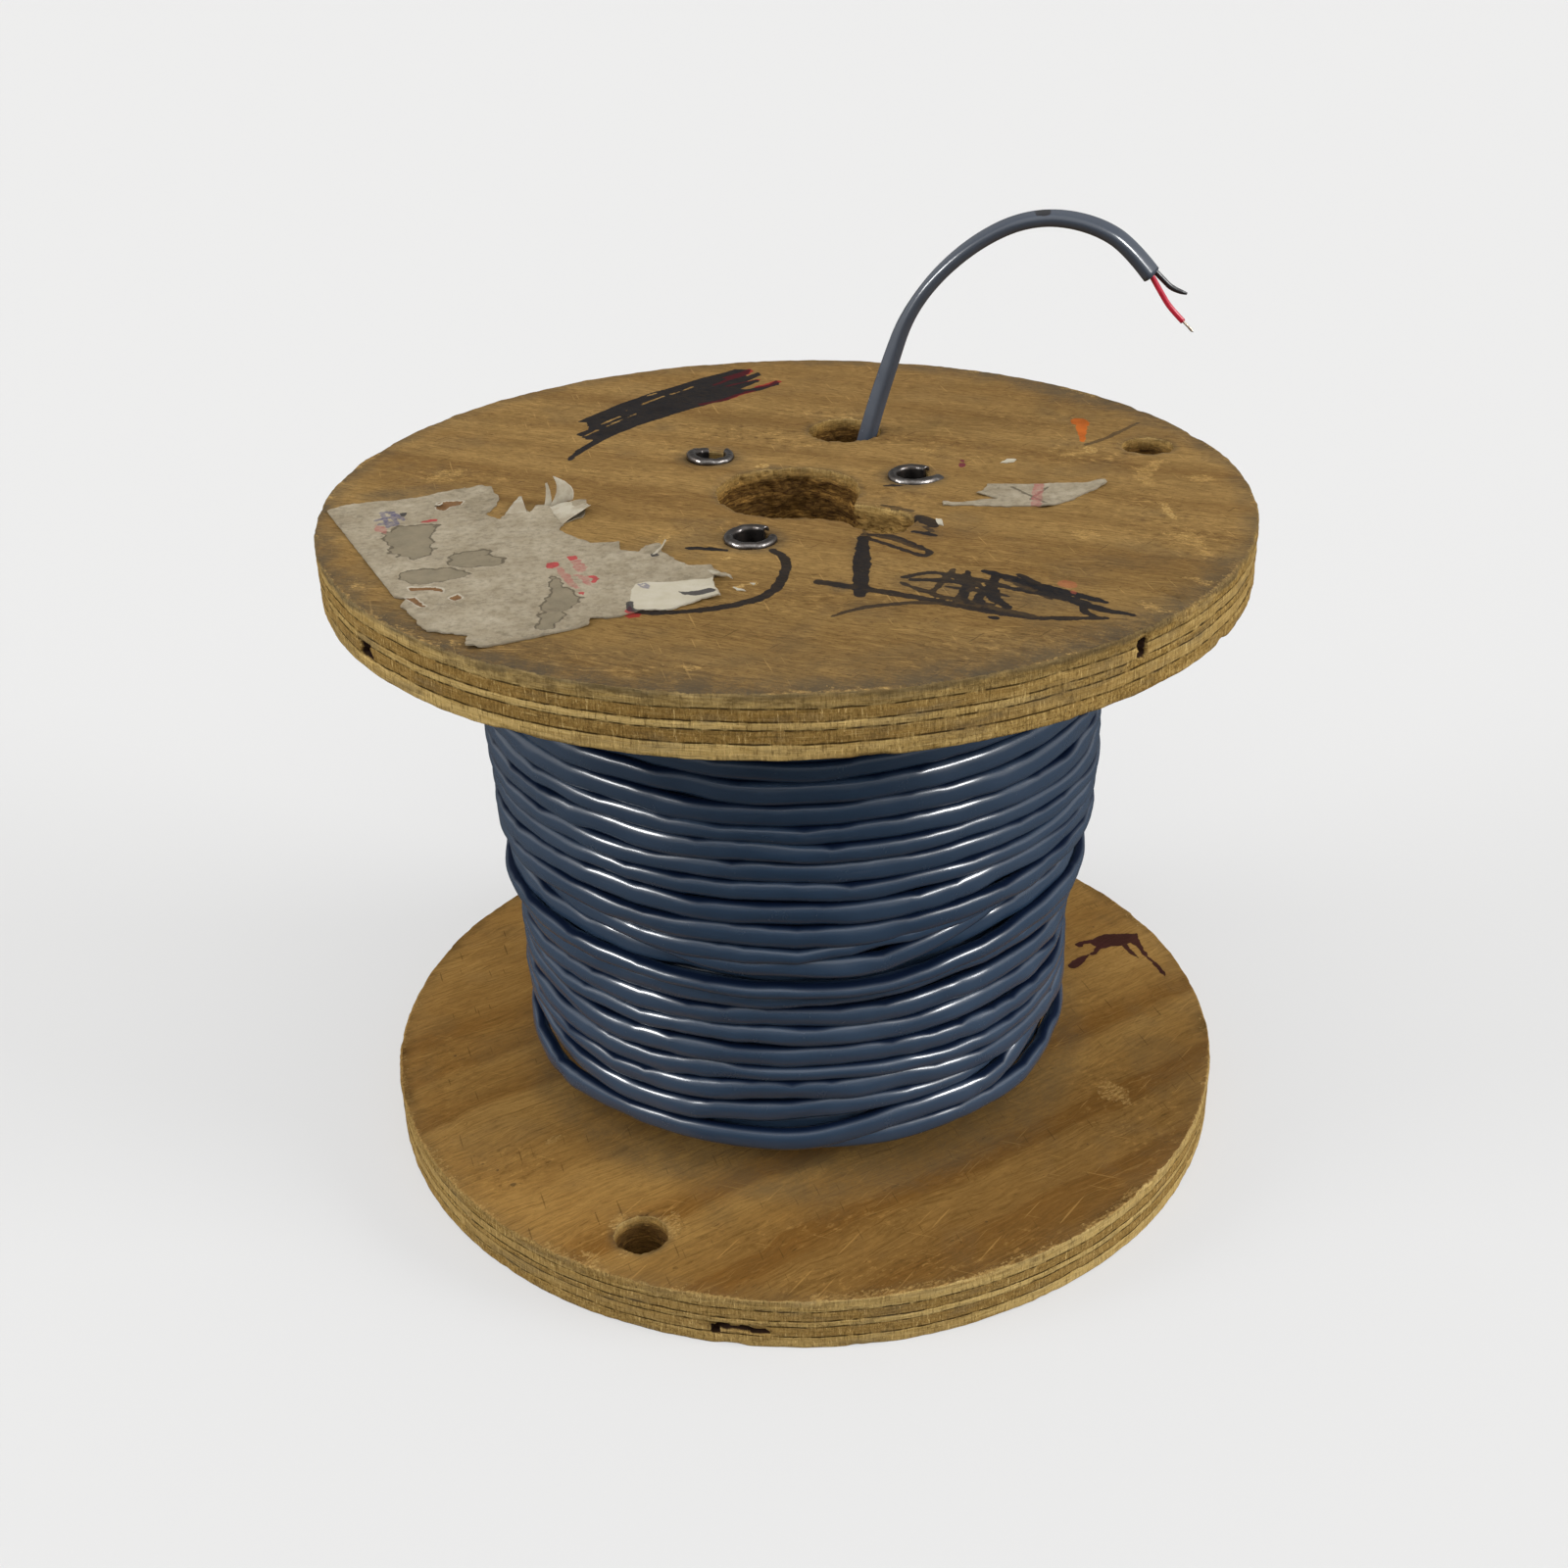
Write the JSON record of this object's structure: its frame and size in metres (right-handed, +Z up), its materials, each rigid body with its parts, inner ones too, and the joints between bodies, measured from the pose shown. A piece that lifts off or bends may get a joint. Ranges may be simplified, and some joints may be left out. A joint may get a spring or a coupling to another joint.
{
  "type": "reel of electrical cable",
  "caption": "Plywood reel wound with flat two-core electrical cable; the cable's stripped inner end stands up out of the start hole in the upper flange.",
  "frame": {"origin": "centre of the lower flange's underside, where the reel stands on the floor", "axes": "+Z up along the reel's axis; the free cable end leans towards +X, and the worn label lies towards -X -Y on the upper flange"},
  "size_m": [0.3048, 0.3048, 0.3082],
  "materials": {
    "plywood": "bare pine plywood, worn and stained",
    "fibre_board": "plain fibre tube",
    "tie_steel": "bright rolled strip",
    "cable_jacket": "glossy slate blue-grey PVC",
    "red_insulation": "satin",
    "black_insulation": "satin",
    "tinned_wire": "tinned strands",
    "paper": "torn, soiled label paper"
  },
  "bodies": {
    "root": {"upper_flange": "plywood", "lower_flange": "plywood", "drum": "fibre_board", "tie_tube_1": "tie_steel", "tie_tube_2": "tie_steel", "tie_tube_3": "tie_steel", "cable_winding": "cable_jacket", "cable_tail": "cable_jacket", "red_conductor": "red_insulation", "red_strands": "tinned_wire", "black_conductor": "black_insulation", "label_paper": "paper", "label_scrap": "paper"}
  },
  "joints": []
}
